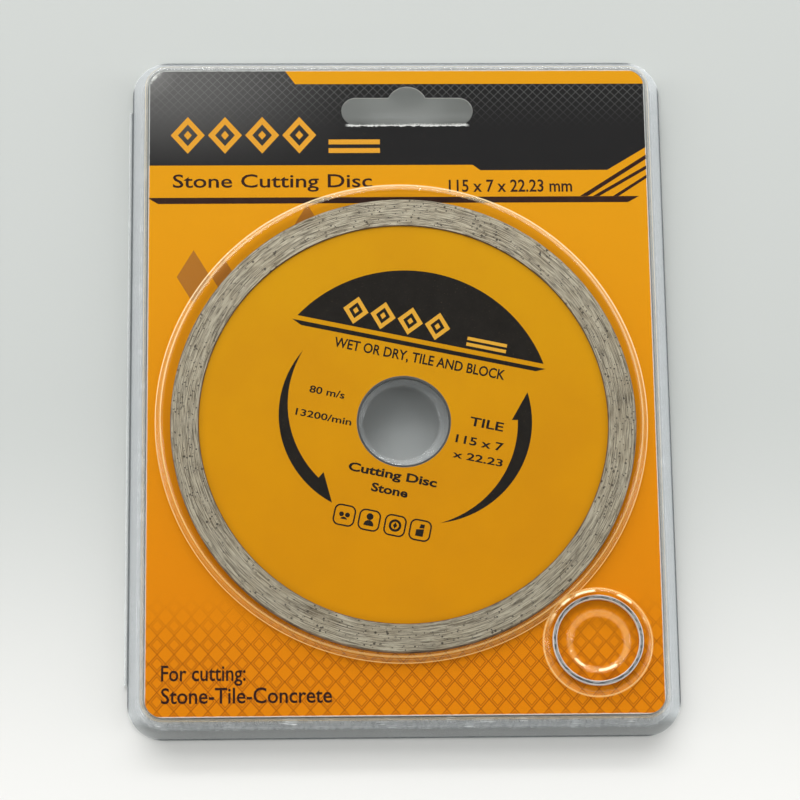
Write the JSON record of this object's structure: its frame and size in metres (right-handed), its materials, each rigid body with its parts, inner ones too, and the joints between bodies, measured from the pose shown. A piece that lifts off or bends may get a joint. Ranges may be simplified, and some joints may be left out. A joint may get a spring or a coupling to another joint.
{
  "type": "diamond blade",
  "caption": "Continuous-rim diamond cutting disc for masonry with a reducing ring, loose in a clear hinged hang pack with a printed card.",
  "frame": {"origin": "centre of the blade's arbor bore, at mid-thickness of the steel core", "axes": "+Z along the arbor axis, out of the labelled side; +Y towards the hanging slot; +X to the right as seen from the labelled side"},
  "size_m": [0.1359, 0.1744, 0.0105],
  "materials": {
    "core_paint": "gloss",
    "diamond_bond": "ground",
    "bright_steel": "polished",
    "printed_card": "printed, satin",
    "clear_sheet": "clear gloss"
  },
  "bodies": {
    "root": {"back_shell": "clear_sheet", "card": "printed_card", "living_hinge": "clear_sheet"},
    "front": {"front_shell": "clear_sheet"},
    "blade": {"blade_core": "core_paint", "diamond_rim": "diamond_bond"},
    "ring": {"reducing_ring": "bright_steel"}
  },
  "joints": [
    {"name": "front_open", "type": "hinge", "parent": "root", "child": "front", "pos_m": [-0.06835, 0.0101, -0.00815], "axis": [0, -1, 0], "range_deg": [0, 110]},
    {"name": "blade_spin", "type": "hinge", "parent": "root", "child": "blade", "pos_m": [0, 0, 0], "axis": [0, 0, 1], "continuous": true},
    {"name": "ring_spin", "type": "hinge", "parent": "root", "child": "ring", "pos_m": [0.0465, -0.0547, 0], "axis": [0, 0, 1], "continuous": true}
  ]
}
